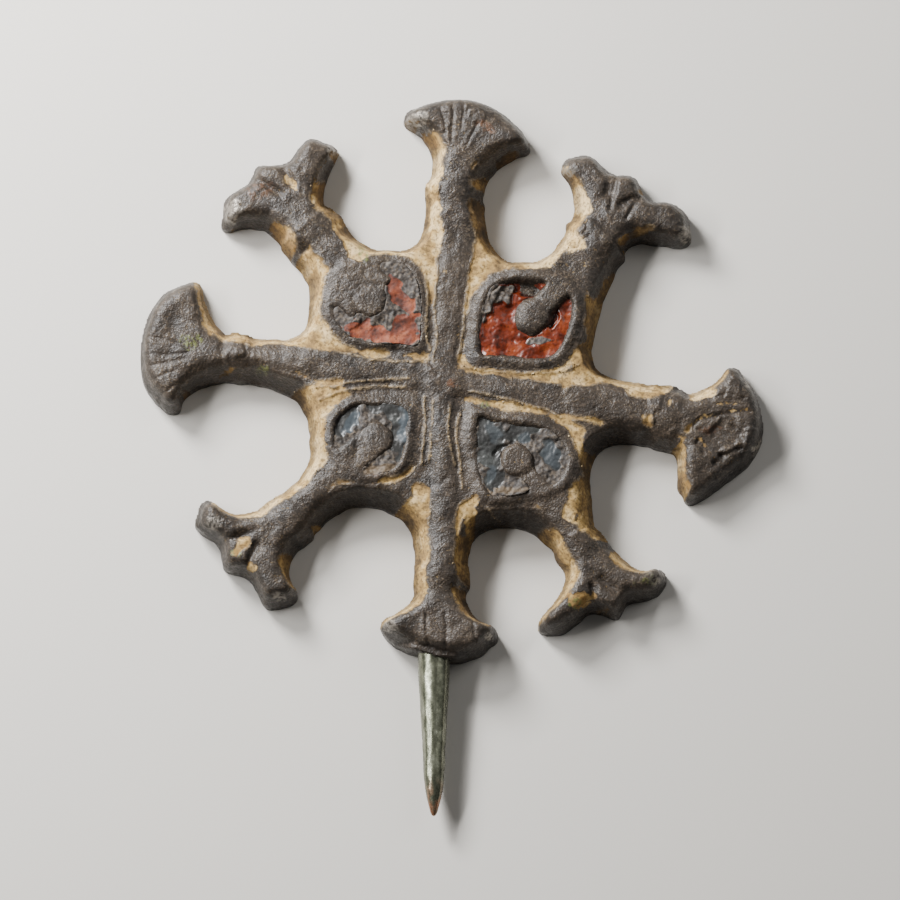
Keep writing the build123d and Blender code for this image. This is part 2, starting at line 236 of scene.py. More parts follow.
# What the badge's surface shows, placed on the photograph. A spot is an ellipse: its centre
# and half axes in pixels, its turn in degrees anticlockwise, and how much of it there is.
Spot = namedtuple("Spot", "kind x y long wide turn much")
CAST_SPOTS = (
    # Upper left arm
    Spot("flake", 288, 181, 11, 5, -52, 1.0),
    Spot("flake", 283, 236, 15, 9, -55, 1.0),
    Spot("ochre", 284, 240, 16, 10, -55, 0.8),
    Spot("ochre", 320, 188, 24, 6, 80, 0.8),
    Spot("hollow", 302, 249, 8, 4, 20, 0.35),
    Spot("hollow", 303, 268, 7, 9, 0, 0.15),
    Spot("flake", 305, 272, 10, 17, -30, 1.0),
    Spot("rust", 258, 190, 15, 10, 30, 0.5),
    Spot("worn", 231, 211, 11, 9, 40, 0.8),
    Spot("worn", 331, 150, 6, 6, 0, 0.6),
    Spot("green", 363, 257, 6, 9, 40, 0.7),
    Spot("flake", 358, 252, 9, 14, 35, 0.9),
    # Top arm
    Spot("lump", 477, 114, 10, 7, 0, 0.14),
    Spot("rust", 487, 128, 11, 7, -20, 0.9),
    Spot("worn", 416, 119, 12, 9, 30, 0.9),
    Spot("ochre", 429, 138, 9, 7, -40, 1.0),
    Spot("flake", 428, 137, 8, 6, -40, 1.0),
    Spot("flake", 508, 159, 16, 7, 35, 0.7),
    Spot("flake", 432, 195, 6, 9, 0, 1.0),
    Spot("lump", 433, 188, 8, 6, 10, 0.15),
    Spot("flake", 436, 226, 8, 26, 0, 1.0),
    Spot("pale", 436, 226, 10, 28, 0, 0.8),
    Spot("hollow", 477, 193, 4, 3, 0, 0.2),
    Spot("flake", 486, 246, 8, 22, -12, 0.9),
    Spot("flake", 446, 262, 4, 14, 0, 0.5),
    # Upper right arm
    Spot("flake", 641, 190, 7, 4, -20, 0.8),
    Spot("flake", 625, 237, 12, 4, 40, 0.8),
    Spot("flake", 640, 231, 14, 5, 15, 0.9),
    Spot("worn", 566, 168, 8, 7, 0, 1.0),
    Spot("hollow", 603, 164, 5, 4, 0, 0.15),
    Spot("flake", 584, 202, 8, 17, 12, 1.0),
    Spot("pale", 583, 200, 10, 20, 12, 1.0),
    Spot("lump", 579, 226, 9, 8, 0, 0.15),
    Spot("flake", 577, 243, 12, 8, 30, 1.0),
    Spot("pale", 577, 243, 14, 9, 30, 0.9),
    Spot("worn", 687, 235, 7, 10, 20, 0.8),
    Spot("ochre", 630, 243, 7, 9, 0, 0.9),
    Spot("ochre", 617, 263, 8, 7, 0, 0.7),
    Spot("flake", 604, 297, 8, 28, -25, 0.9),
    # Rings on the arms, worn soft
    Spot("soften", 457, 190, 34, 16, 0, 0.8),
    Spot("soften", 441, 578, 40, 16, 0, 0.8),
    Spot("soften", 238, 350, 14, 34, 0, 0.8),
    Spot("soften", 662, 408, 18, 40, 0, 0.8),
    Spot("soften", 322, 226, 34, 15, 50, 0.7),
    Spot("soften", 582, 232, 34, 15, -45, 0.7),
    Spot("soften", 290, 520, 34, 15, -42, 0.7),
    Spot("soften", 585, 545, 34, 15, 30, 0.7),
    # Bosses in the cells, and the dents round them
    Spot("dome", 531, 316, 20, 19, 0, 0.35),
    Spot("dome", 516, 460, 21, 20, 0, 0.35),
    Spot("dome", 376, 437, 21, 20, 0, 0.28),
    Spot("dome", 372, 303, 20, 18, 0, 0.25),
    # Cells' rims and the hub
    Spot("rust", 452, 383, 6, 5, 0, 0.9),
    Spot("flake", 571, 335, 6, 15, -18, 0.6),
    Spot("pale", 571, 335, 6, 15, -18, 0.4),
    Spot("green", 484, 406, 6, 4, 0, 0.6),
    Spot("ochre", 506, 489, 18, 8, 0, 0.6),
    Spot("ochre", 378, 470, 16, 8, 20, 0.7),
    Spot("rust", 377, 471, 6, 4, 0, 0.8),
    # Right arm
    Spot("hollow", 722, 438, 24, 15, 15, 0.22),
    Spot("hollow", 731, 463, 19, 14, 30, 0.28),
    Spot("lump", 752, 440, 9, 14, 20, 0.2),
    Spot("lump", 733, 389, 10, 13, -15, 0.14),
    Spot("worn", 757, 449, 5, 9, -30, 1.0),
    Spot("worn", 746, 384, 4, 8, 20, 0.9),
    Spot("flake", 706, 394, 13, 5, 15, 1.0),
    Spot("pale", 706, 394, 13, 5, 15, 0.5),
    Spot("flake", 672, 404, 5, 11, 0, 0.8),
    Spot("flake", 646, 418, 6, 8, 30, 0.7),
    Spot("flake", 640, 392, 16, 4, -8, 0.8),
    Spot("ochre", 720, 437, 26, 20, 0, 0.7),
    Spot("ochre", 690, 470, 8, 24, 0, 0.8),
    Spot("lump", 655, 402, 8, 14, 0, 0.12),
    Spot("rust", 712, 430, 10, 5, 0, 0.6),
    # Left arm
    Spot("green", 189, 340, 9, 8, 0, 0.7),
    Spot("ochre", 178, 346, 14, 16, 0, 0.5),
    Spot("lump", 236, 343, 9, 13, 0, 0.16),
    Spot("hollow", 222, 345, 5, 15, 0, 0.14),
    Spot("green", 262, 372, 9, 5, 10, 0.6),
    Spot("ochre", 285, 378, 24, 6, 5, 0.7),
    Spot("flake", 207, 322, 5, 16, 12, 0.7),
    Spot("flake", 226, 372, 18, 5, 30, 0.8),
    Spot("flake", 171, 357, 22, 3, 3, 0.5),
    # Lower left arm
    Spot("flake", 241, 545, 13, 6, 40, 1.0),
    Spot("flake", 254, 567, 8, 6, 30, 1.0),
    Spot("worn", 213, 522, 10, 8, 0, 0.8),
    Spot("ochre", 246, 556, 18, 9, -50, 0.7),
    Spot("green", 236, 552, 6, 4, 0, 0.6),
    Spot("worn", 280, 597, 9, 6, 0, 0.6),
    # Bottom arm
    Spot("worn", 488, 636, 5, 6, 0, 1.0),
    Spot("worn", 390, 628, 7, 8, 0, 0.7),
    Spot("flake", 420, 510, 8, 34, 0, 0.9),
    Spot("flake", 470, 520, 7, 24, 0, 0.7),
    Spot("flake", 399, 606, 5, 12, -35, 0.7),
    # Lower right arm
    Spot("flake", 582, 600, 14, 8, 10, 1.0),
    Spot("flake", 612, 590, 12, 6, -30, 0.8),
    Spot("flake", 604, 612, 8, 4, 20, 0.8),
    Spot("green", 645, 580, 10, 6, 0, 0.5),
    Spot("worn", 655, 577, 8, 7, 0, 0.5),
    Spot("ochre", 575, 600, 14, 9, 20, 0.8),
    Spot("green", 572, 604, 8, 6, 20, 0.8),
    Spot("flake", 590, 505, 7, 30, -18, 0.9),
)

# Lines cut in, standing out, laid on as crust or flaked bare, as points in the photograph's
# pixels. Width is half the line's own. Much is its depth or height, and 1 where it has none.
Line = namedtuple("Line", "kind width much points")
CAST_LINES = (
    Line("cut", 0.14, 0.14, ((452, 101), (452, 140))),
    Line("cut", 0.10, 0.12, ((440, 106), (445, 132))),
    Line("cut", 0.10, 0.10, ((463, 103), (461, 130))),
    Line("cut", 0.11, 0.12, ((477, 121), (468, 146))),
    Line("cut", 0.15, 0.1, ((144, 336), (164, 338), (184, 344))),
    Line("cut", 0.12, 0.06, ((145, 354), (172, 353), (186, 352))),
    Line("cut", 0.15, 0.09, ((146, 366), (168, 361), (182, 358))),
    Line("cut", 0.12, 0.06, ((150, 380), (172, 371))),
    Line("cut", 0.14, 0.09, ((160, 396), (176, 384), (190, 368))),
    Line("cut", 0.22, 0.16, ((690, 429), (700, 420), (722, 416), (750, 413))),
    Line("flake", 0.26, 1.0, ((689, 427), (700, 418), (722, 413), (749, 410))),
    Line("flake", 0.22, 1.0, ((701, 438), (708, 449), (717, 462))),
    Line("flake", 0.14, 1.0, ((716, 405), (738, 405))),
    Line("cut", 0.12, 0.10, ((705, 400), (728, 396), (744, 399))),
    Line("cut", 0.20, 0.25, ((618, 176), (611, 207))),
    Line("cut", 0.16, 0.20, ((642, 192), (628, 217))),
    Line("cut", 0.12, 0.14, ((567, 250), (578, 246), (583, 238), (590, 234))),
    Line("cut", 0.14, 0.16, ((425, 618), (428, 645))),
    Line("cut", 0.14, 0.16, ((445, 615), (446, 648))),
    Line("cut", 0.12, 0.14, ((470, 610), (474, 640))),
    Line("ridge", 0.09, 0.12, ((424, 272), (428, 300), (426, 330), (431, 352))),
    Line("ridge", 0.09, 0.12, ((436, 272), (434, 305), (437, 340), (434, 362))),
    Line("ridge", 0.09, 0.12, ((349, 355), (378, 361), (410, 364), (431, 360))),
    Line("ridge", 0.08, 0.10, ((311, 392), (345, 384), (380, 382), (409, 379))),
    Line("ridge", 0.10, 0.12, ((318, 405), (335, 393), (370, 390), (405, 387))),
    Line("ridge", 0.09, 0.12, ((425, 397), (424, 430), (420, 465))),
    Line("ridge", 0.09, 0.12, ((433, 400), (431, 430), (428, 462))),
    Line("ridge", 0.09, 0.12, ((450, 406), (449, 435), (454, 466))),
    Line("ridge", 0.09, 0.12, ((459, 413), (457, 440), (461, 489))),
    Line("ridge", 0.10, 0.14, ((469, 391), (505, 400), (545, 409), (562, 417))),
    Line("ridge", 0.10, 0.12, ((461, 366), (500, 372), (545, 373), (580, 370))),
    Line("ridge", 0.09, 0.12, ((470, 286), (464, 320), (459, 358))),
    Line("ridge", 0.07, 0.10, ((487, 507), (503, 523))),
    Line("crust", 0.55, 1.0, ((427, 396), (425, 430), (422, 478))),
    Line("crust", 0.50, 1.0, ((455, 402), (455, 440), (462, 496))),
    Line("crust", 0.50, 1.0, ((350, 386), (380, 385), (424, 386))),
)

# The same on the enamel. Glass is what is left of it, and decay hides it. A dark mark is painted
# shade, near black, in a pit or slit.
ENAMEL_SPOTS = {
    "enamel_upper_left": (
        Spot("glass", 370, 333, 28, 11, 0, 1.0),
        Spot("glass", 404, 332, 21, 20, 0, 1.0),
        Spot("glass", 387, 336, 15, 12, 0, 1.0),
        Spot("glass", 400, 297, 20, 9, -55, 1.0),
        Spot("lump", 402, 330, 18, 16, 0, 0.06),
        Spot("hollow", 402, 314, 7, 4, 0, 0.12),
        Spot("dark", 392, 314, 8, 4, 20, 0.6),
        Spot("lump", 353, 326, 13, 4, 38, 0.12),
    ),
    "enamel_upper_right": (
        Spot("glass", 520, 320, 130, 130, 0, 1.0),
        Spot("decay", 487, 304, 30, 8, 68, 1.0),
        Spot("lump", 486, 304, 30, 9, 68, 0.22),
        Spot("decay", 503, 297, 13, 8, 40, 1.0),
        Spot("lump", 503, 297, 14, 9, 40, 0.25),
        Spot("hollow", 524, 288, 17, 10, 0, 0.42),
        Spot("dark", 529, 294, 12, 4, 10, 0.9),
        Spot("hollow", 551, 318, 7, 11, 0, 0.40),
        Spot("dark", 549, 320, 5, 9, 0, 0.8),
        Spot("decay", 538, 340, 11, 4, 0, 0.8),
        Spot("hollow", 531, 340, 17, 5, 0, 0.10),
    ),
    "enamel_lower_left": (
        Spot("glass", 385, 404, 32, 10, 0, 1.0),
        Spot("glass", 403, 430, 15, 34, 0, 1.0),
        Spot("glass", 345, 420, 12, 22, -30, 1.0),
        Spot("pale", 404, 432, 7, 22, 5, 0.9),
        Spot("pale", 350, 424, 6, 14, -35, 0.8),
        Spot("hollow", 347, 420, 10, 17, -30, 0.14),
        Spot("ochre", 378, 470, 15, 6, 15, 0.4),
        Spot("lump", 378, 470, 18, 9, 15, 0.12),
    ),
    "enamel_lower_right": (
        Spot("glass", 490, 440, 18, 36, 0, 1.0),
        Spot("glass", 518, 434, 24, 9, 5, 1.0),
        Spot("pale", 492, 430, 8, 12, 0, 0.4),
        Spot("pale", 491, 474, 6, 9, 0, 0.5),
        Spot("glass", 494, 478, 12, 14, 0, 0.9),
        Spot("pale", 524, 437, 9, 6, 10, 0.5),
        Spot("pale", 550, 455, 8, 12, 20, 0.5),
        Spot("glass", 550, 455, 9, 14, 20, 0.8),
        Spot("hollow", 504, 448, 12, 5, 32, 0.25),
        Spot("dark", 504, 448, 11, 3, 32, 0.9),
        Spot("ochre", 504, 492, 18, 5, 0, 0.4),
    ),
}


def lay_marks(grid, spots, lines):
    """Apply the marks to the grid's height and to its layers of colour."""
    ragged = mark_edge * grid.ripple(mark_edge_size)
    for mark in spots:
        cover = grid.spot(mark, ragged) * mark.much
        if mark.kind == "dome":
            away = np.clip(grid.distance(mark), 0, 1)
            grid.height += cover * (dome_rise - away ** 2)
        elif mark.kind in RISE:
            grid.height += RISE[mark.kind] * cover
        else:
            grid.layers[mark.kind] = np.maximum(grid.layers[mark.kind], cover)
    for line in lines:
        cover = grid.stroke(line, line_edge * np.abs(ragged))
        grid.height += RISE.get(line.kind, 0) * line.much * cover
        if line.kind in grid.layers:
            grid.layers[line.kind] = np.maximum(grid.layers[line.kind], cover)


# Casting: its worn form. A pair is where something starts and where it is complete.
crest_reach = 1.9         # how far away a point's crest is looked for
crest_blur = 0.7          # softening of the crests that are found
edge_blur = 0.1           # softening where a crest's own edge matters
rounding = 0.20           # softening of the casting's edges by wear
ring_rounding = 0.55      # the same where the rings on the arms are worn soft
corner_wear = 0.24        # softening of its outline's corners
corner_web = 0.9          # how wide a web rounds off the corners between the arms
web_reach = 16.5          # hub centre to beyond those corners
web_height = 0.8          # height of the web, as a share of the crest's
web_slope = 0.7           # how far in from the outline the web slopes
web_rise = (0.5, 1.0)     # cover, blurred that far, at the web's foot and top
wall_reach = 0.3          # how far the crust covers the cells' walls
wall_cover = (0.02, 0.2)  # share of a bed, blurred that far, where it covers them
bed_sink = 0.5            # how far the beds' floors are kept clear of the enamel
bed_edge = (0.3, 0.9)     # share of a bed where its floor starts to sink, and is down
brow_start = -20.5        # from here down, the bottom fan's edge closes over the pin
brow_over_pin = 0.15      # metal over it there
brow_sides = (1.5, 4.0)   # from the pin's middle, where the brow starts to fall, and its end
brow_fall = 0.8           # share of the brow's height that it falls by

# Casting: its crust
crust_foot = 0.48         # depth below the crest where the crust's broken edge starts
crust_end = 0.58          # and where it has ended
edge_share = 0.6          # share of that depth measured on the unworn form, the rest on the worn
flake_depth = 0.7         # depth that a flaked spot counts for
cover_depth = 4.0         # depth that a covered spot makes up for
held_depth = 4.5          # depth that a face makes up for where its crust has held
flank_blur = 0.5          # width over which a flank's slope and depth are measured
level_fall = 0.05         # slope under which a face looks in no direction
deepest = 3.0             # depth past which flanks count alike
outer_ring = (18.5, 20.5)     # hub centre to the leaves and fans
outward_face = (-0.15, 0.45)  # how much a face looks away from the hub
near_way = (0.25, -0.8)   # the way that the near, shaded flanks look, towards +X and +Y; crust held on them is partly painted shade
near_face = (0.3, 0.7)    # how much a flank looks that way
near_depth = (0.6, 0.9)   # depth of the near flanks
crust_thick = 0.06        # step at the crust's broken edge
lip_height = 0.045        # torn lip along that edge
lip_width = 0.17          # how far from the edge the lip reaches
lip_cover = (0.1, 0.45)   # share of bare ground, blurred that far, along the lip
pit_depth = 0.04
pit_size = 0.8            # spacing of the ripples that the pits lie in
pit_ripple = (1.9, 3.0)   # how many spreads deep a ripple is where a pit starts, and its floor

# Casting: the earth in its grooves
groove_floor = 0.8        # depth of the grooves beside the rods
fill_middle = 0.52        # share of the grooves' depth that earth fills up, by the cells
fill_arms = 0.15          # and out on the arms
middle_end = (12.5, 16.0)     # hub centre to where the arms are free of the cells
fill_foot = (0.9, 1.25)   # depth below which earth doesn't cling

# Random bumps, each as its height and its spacing
OUTLINE_RIPPLE = ((0.02, 0.8),)
CRUST_EDGE = ((0.08, 2.6), (0.05, 0.9), (0.02, 0.4))
CAST_SWELL = ((0.09, 5.0), (0.025, 1.3))
CRUST_GRAIN = ((0.008, 0.34), (0.008, 0.7))
EARTH_GRAIN = ((0.012, 0.9), (0.008, 0.35))

# The same as shares: of the lip's height, of the earth's tone and of the lip's strength
LIP_RIPPLE = ((0.6, 1.1),)
TONE_MOTTLE = ((0.12, 3.4), (0.08, 0.9))
LIP_MOTTLE = ((0.5, 1.5),)

# What the casting's finish reads
tone_mean = 0.62          # tone of the earth, from 0, darkest, to 1
lit_way = (-0.5, 0.6)     # the way that flanks with painted light look, towards +X and +Y
lit_most = 1.2            # slope past which that makes no more difference
painted_light_tone = 0.16           # tone that a slope of 1 gains or loses, as painted light and shade
shade_slope = (0.1, 1.2)  # slope to the near side of the flanks that get painted shade
shade_depth = (0.9, 2.2)  # and their depth
painted_shade_tone = 0.16         # tone that they lose to painted shade
groove_tone = 0.10        # tone gained on the grooves' floors
groove_width = 0.15       # how close to the floors' depth that is
pale_tone = 0.4           # tone gained at a pale mark
flake_tone = 0.1          # and at a flaked one
crust_blur = 0.1          # softening of the crust's edge in the finish
lip_mean = 0.6            # how strong the lip shows
hollow_reach = 0.4        # width of the hollows that get painted shade
hollow_depth = (0.04, 0.25)   # their depth
painted_flank_dark = 0.9          # how dark the painted shade at the foot of a crusted flank is beside them
flank_depth = (0.7, 2.4)  # its depth below the crest

Form = namedtuple("Form", "away crest sharp depth fall_x fall_y")


def bed_plan(grid):
    """Share of each point that lies under an enamel field."""
    plan = np.zeros(grid.shape)
    for name in ENAMEL_SPOTS:
        field = Relief(name, grid.step)
        plan = np.maximum(plan, field.at(field.inside * 1.0, grid.x, grid.y))
    return plan


def worn_form(grid):
    """The casting under its crust: its edges worn, its outline drawn anew and its corners
    webbed. It gives the crest by each point, how far below it the unworn and the worn casting
    lie, and the way that the worn one slopes."""
    least = 1e-3          # keeps the distance from being 0 at the hub
    away = np.hypot(grid.x, grid.y) + least
    crest = grid.smooth(grid.spread(grid.cad, crest_reach), crest_blur)
    sharp = crest - grid.smooth_within(grid.cad, edge_blur)
    grid.inside = grid.inside | (grid.closed(corner_web) & (away < web_reach))
    rise = step_up(grid.smooth(grid.inside * 1.0, web_slope), *web_rise)
    webbed = np.maximum(grid.cad, web_height * crest * rise)
    base = grid.smooth_within(webbed, rounding)
    soft = grid.smooth_within(webbed, ring_rounding)
    base += (soft - base) * grid.layers["soften"]
    grid.trim(corner_wear, OUTLINE_RIPPLE)
    fall_x, fall_y = grid.slope(-base, flank_blur)
    return Form(away, crest, sharp, crest - base, fall_x, fall_y)


def held_crust(grid, form):
    """Where the crust has held down to the back: on the outward faces of the leaves and fans,
    and on the near, shaded flanks, where its dark colour is partly painted shade."""
    fall = np.hypot(form.fall_x, form.fall_y) + level_fall
    outward = (form.fall_x * grid.x + form.fall_y * grid.y) / (form.away * fall)
    outer = step_up(form.away, *outer_ring) * step_up(outward, *outward_face)
    nearward = (near_way[0] * form.fall_x + near_way[1] * form.fall_y) / fall
    drop = grid.smooth_within(np.clip(form.depth, 0, deepest), flank_blur)
    near = step_up(nearward, *near_face) * step_up(drop, *near_depth)
    return np.maximum(outer, near)


def crust_cover(grid, form, held):
    """How far the crust covers each point: all over the tops, down to a ragged broken edge."""
    flake = grid.layers["flake"]
    bare = edge_share * form.sharp + (1 - edge_share) * form.depth + grid.ripples(CRUST_EDGE)
    bare = bare + flake_depth * flake - cover_depth * grid.layers["crust"]
    bare -= held_depth * held * (1 - flake)
    return 1 - step_up(bare, crust_foot, crust_end)


def earth_fill(form):
    """Share of each point's depth that earth fills up."""
    fill = fill_arms + (fill_middle - fill_arms) * (1 - step_up(form.away, *middle_end))
    fill *= (1 - step_up(form.depth, *fill_foot)) * step_up(form.depth, 0, groove_floor)
    return fill


def earth_tone_with_painted_light(grid, form):
    """Tone of the earth, with painted light on the flanks that face the lamp and painted shade low
    on the near side.
    """
    # Painted light and shade: lighter on flanks that face the lamp, darker low on the near side
    lit = np.clip(lit_way[1] * form.fall_y + lit_way[0] * form.fall_x, -lit_most, lit_most)
    shade = step_up(-form.fall_y, *shade_slope) * step_up(form.depth, *shade_depth)
    tone = tone_mean + grid.ripples(TONE_MOTTLE) + painted_light_tone * lit - painted_shade_tone * shade
    tone += groove_tone * np.exp(-((form.depth - groove_floor) / groove_width) ** 2)
    tone += pale_tone * grid.layers["pale"] + flake_tone * grid.layers["flake"]
    return np.clip(tone, 0, 1)


def close_over_pin(grid):
    """Raise the bottom fan's edge to a brow over the pin's head."""
    pin_low, pin_high = (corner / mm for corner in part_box("pin_shank"))
    beside = np.abs(grid.x - (pin_low.x + pin_high.x) / 2)
    brow = (pin_high.z + brow_over_pin) * (1 - brow_fall * step_up(beside, *brow_sides))
    grid.height = np.where(grid.y < brow_start, np.maximum(grid.height, brow), grid.height)


def cast_relief():
    """The casting's relief with its crust, pits and marks."""
    grid = Relief("cast_cross", cast_step)
    lay_marks(grid, CAST_SPOTS, CAST_LINES)
    marked = grid.height - grid.cad
    beds = bed_plan(grid)
    walls = step_up(grid.smooth(beds, wall_reach), *wall_cover)
    grid.layers["crust"] = np.maximum(grid.layers["crust"], walls)
    form = worn_form(grid)
    # Crust held on the near flanks is partly painted shade
    held = held_crust(grid, form)
    crust = crust_cover(grid, form, held)
    lip = crust * step_up(1 - grid.smooth(crust, lip_width), *lip_cover) * (1 - held)
    grid.height = form.crest - form.depth * (1 - earth_fill(form)) + crust_thick * (crust - 1)
    grid.height += lip_height * lip * (1 + grid.ripples(LIP_RIPPLE))
    grid.height += grid.ripples(CAST_SWELL) + crust * grid.ripples(CRUST_GRAIN)
    grid.height -= crust * pit_depth * step_up(-grid.ripple(pit_size), *pit_ripple)
    grid.height += (1 - crust) * grid.ripples(EARTH_GRAIN)
    grid.height += marked
    grid.height -= bed_sink * step_up(beds, *bed_edge)
    close_over_pin(grid)

    # The earth's tone, painted light and shade included
    grid.layers["cream"] = earth_tone_with_painted_light(grid, form)
    grid.layers["crust"] = grid.smooth(crust, crust_blur)
    torn = lip * (lip_mean + grid.ripples(LIP_MOTTLE))
    grid.layers["lip"] = np.clip(np.maximum(torn, grid.layers["ridge"]), 0, 1)
    # Painted shade: darker in hollows and at the feet of crusted flanks
    hollow = grid.smooth_within(grid.height, hollow_reach) - grid.height
    painted_flank_shade = painted_flank_dark * crust * step_up(form.depth, *flank_depth)
    grid.layers["hollow"] = np.maximum(step_up(hollow, *hollow_depth), painted_flank_shade)
    return grid


# Enamel
enamel_spill = 0.20       # how softly the enamel runs up against its walls
enamel_edge = 0.05        # share of that where it ends, inside the wall
enamel_blur = 0.07        # softening of the enamel's own surface
beyond_blur = 0.25        # the same beyond its edge, where it runs into the wall
climb_reach = 0.3         # how far from the walls it climbs
wall_climb = 0.06         # how much it climbs
decay_lift = 0.08         # height of decay over whole glass
glass_calm = 0.5          # share of the roughness that whole glass is without
ENAMEL_SWELL = ((0.05, 1.6),)
ENAMEL_GRAIN = ((0.02, 0.35), (0.03, 0.9))
ENAMEL_LIFT = {           # decay and earth that lie on it
    "enamel_upper_left": 0.20, "enamel_upper_right": 0.05,
    "enamel_lower_left": 0.16, "enamel_lower_right": 0.18}


def enamel_relief(name):
    """One enamel field, decayed and pitted, sunk in its cell."""
    grid = Relief(name, enamel_step)
    lay_marks(grid, ENAMEL_SPOTS[name], ())
    soft = grid.smooth_within(grid.height, beyond_blur)
    grid.height = np.where(grid.inside, grid.smooth_within(grid.height, enamel_blur), soft)
    climb = 1 - grid.smooth(grid.inside * 1.0, climb_reach)
    grid.cover = grid.smooth(grid.inside * 1.0, enamel_spill) + outline_cover - enamel_edge
    grid.inside = grid.cover > outline_cover
    grid.height += grid.ripples(ENAMEL_SWELL) + wall_climb * climb + ENAMEL_LIFT[name]
    glass = grid.layers["glass"] * (1 - grid.layers["decay"])
    rough = (1 - glass_calm * glass) * grid.ripples(ENAMEL_GRAIN)
    grid.height += np.where(grid.inside, rough + decay_lift * (1 - glass), 0)
    grid.layers["glass"] = glass
    return grid


# Uneven outline: slow and quick sideways sway, the same for every piece
SWAY_RIPPLE = ((0.07, 6.0), (0.035, 1.4))
sway_calm = 1.5           # how far from the box's sides it starts to die out
Sway = namedtuple("Sway", "grid right up")


def uneven_sway(grid):
    """Sideways moves that make the outline uneven and die out at the box's sides."""
    low, high = cad_low / mm, cad_high / mm
    still = step_up(np.minimum(grid.x - low.x, high.x - grid.x), 0, sway_calm)
    still *= step_up(high.y - grid.y, 0, sway_calm)
    return Sway(grid, still * grid.ripples(SWAY_RIPPLE), still * grid.ripples(SWAY_RIPPLE))


# Flat back
cast_back_step = 0.55     # spacing of the points on the casting's back
enamel_back_step = 1.0    # and on an enamel's
back_clear = 0.97         # cover, blurred by that spacing, where they may lie
back_dent = 0.07          # deepest dent
dent_size = 1.8           # spacing of the dents
deep_dent = 2.0           # how many spreads out a ripple is where a dent is deepest
back_crust = 0.6          # how far crust covers it
BACK_MOTTLE = ((0.6, 3.0),)   # how much that varies, and its spacing


def smooth_piece(name, mesh):
    """A smoothly shaded piece of a mesh, in the scene."""
    mesh.polygons.foreach_set("use_smooth", [True] * len(mesh.polygons))
    piece = bpy.data.objects.new(name, mesh)
    bpy.context.collection.objects.link(piece)
    return piece


def edge_point(grid, inner, outer):
    """Where the piece's outline crosses between two neighbours on the grid."""
    share = (grid.cover[inner] - outline_cover) / (grid.cover[inner] - grid.cover[outer])
    x = grid.xs[inner[1]] + share * (grid.xs[outer[1]] - grid.xs[inner[1]])
    y = grid.ys[inner[0]] + share * (grid.ys[outer[0]] - grid.ys[inner[0]])
    return x, y


def relief_faces(grid):
    """The faces over the grid's inside, the points of its outline, which are numbered on from
    the grid's own, and the outline's edges between them."""
    own = int(grid.inside.sum())
    number = np.full(grid.shape, -1)
    number[grid.inside] = np.arange(own)
    corners = [number[:-1, :-1], number[:-1, 1:], number[1:, 1:], number[1:, :-1]]
    filled = sum(corner >= 0 for corner in corners)
    whole = filled == 4
    faces = np.stack([corner[whole] for corner in corners], 1).tolist()
    rim, rim_edges, crossing = [], [], {}

    def cross(inner, outer):
        key = (inner, outer)
        if key not in crossing:
            crossing[key] = own + len(rim)
            rim.append(edge_point(grid, inner, outer))
        return crossing[key]

    for row, column in zip(*np.nonzero((filled > 0) & (filled < 4))):
        ring = [(row, column), (row, column + 1), (row + 1, column + 1), (row + 1, column)]
        face = []
        for here, there in zip(ring, ring[1:] + ring[:1]):
            if number[here] >= 0:
                face.append(int(number[here]))
                if number[there] < 0:
                    face.append(cross(here, there))
            elif number[there] >= 0:
                face.append(cross(there, here))
        faces.append(face)
        for start, end in zip(face, face[1:] + face[:1]):
            if start >= own and end >= own:
                rim_edges.append((start - own, end - own))
    return faces, np.array(rim), rim_edges


def back_net(grid, spacing):
    """Points of a coarse square net over the grid's inside, clear of its outline."""
    wide = round(spacing / grid.step)
    clear = grid.smooth(grid.inside * 1.0, spacing) > back_clear
    net = [(grid.xs[column], grid.ys[row]) for row in range(0, grid.shape[0], wide)
           for column in range(0, grid.shape[1], wide) if clear[row, column]]
    return np.array(net).reshape(-1, 2)


def relief_piece(name, grid, layers, back_step, sway):
    """A closed mesh of the grid's relief on a flat back, with the grid's layers on it."""
    faces, rim, rim_edges = relief_faces(grid)
    net = back_net(grid, back_step)
    top_points = np.stack([field[grid.inside] for field in (grid.x, grid.y, grid.height)], 1)

    # The back is cut into triangles between the outline and the net, and faces down
    flat = [Vector(point) for point in rim.tolist() + net.tolist()]
    inside_only, least_gap = 1, 1e-6
    made = delaunay_2d_cdt(flat, rim_edges, [], inside_only, least_gap)
    place = [len(top_points) + origin[0] for origin in made[3]]
    for face in made[2]:
        faces.append([place[corner] for corner in reversed(face)])
    dents = np.clip(np.abs(grid.at(grid.ripple(dent_size), *net.T)) / deep_dent, 0, 1)
    net_crust = np.clip(back_crust + grid.at(grid.ripples(BACK_MOTTLE), *net.T), 0, 1)
    rim_points = np.column_stack([rim, np.full(len(rim), grid.foot)])
    net_points = np.column_stack([net, grid.foot + back_dent * dents])
    points = np.vstack([top_points, rim_points, net_points])

    # Layers are read where the points lie before the sway moves them
    plan = points[:, 0], points[:, 1]
    values = {kind: grid.at(grid.layers[kind], *plan) for kind in layers}
    shift = [sway.grid.at(move, *plan) for move in (sway.right, sway.up)]
    points[:, 0] += shift[0]
    points[:, 1] += shift[1]
    points = np.clip(points, np.array(cad_low / mm), np.array(cad_high / mm))
    mesh = bpy.data.meshes.new(name)
    mesh.from_pydata((points * mm).tolist(), [], faces)
    for kind, layer in values.items():
        if kind == "crust":
            layer[len(points) - len(net):] = net_crust
        attribute = mesh.attributes.new(kind, "FLOAT", "POINT")
        attribute.data.foreach_set("value", layer.astype(np.float32))
    return smooth_piece(name, mesh)


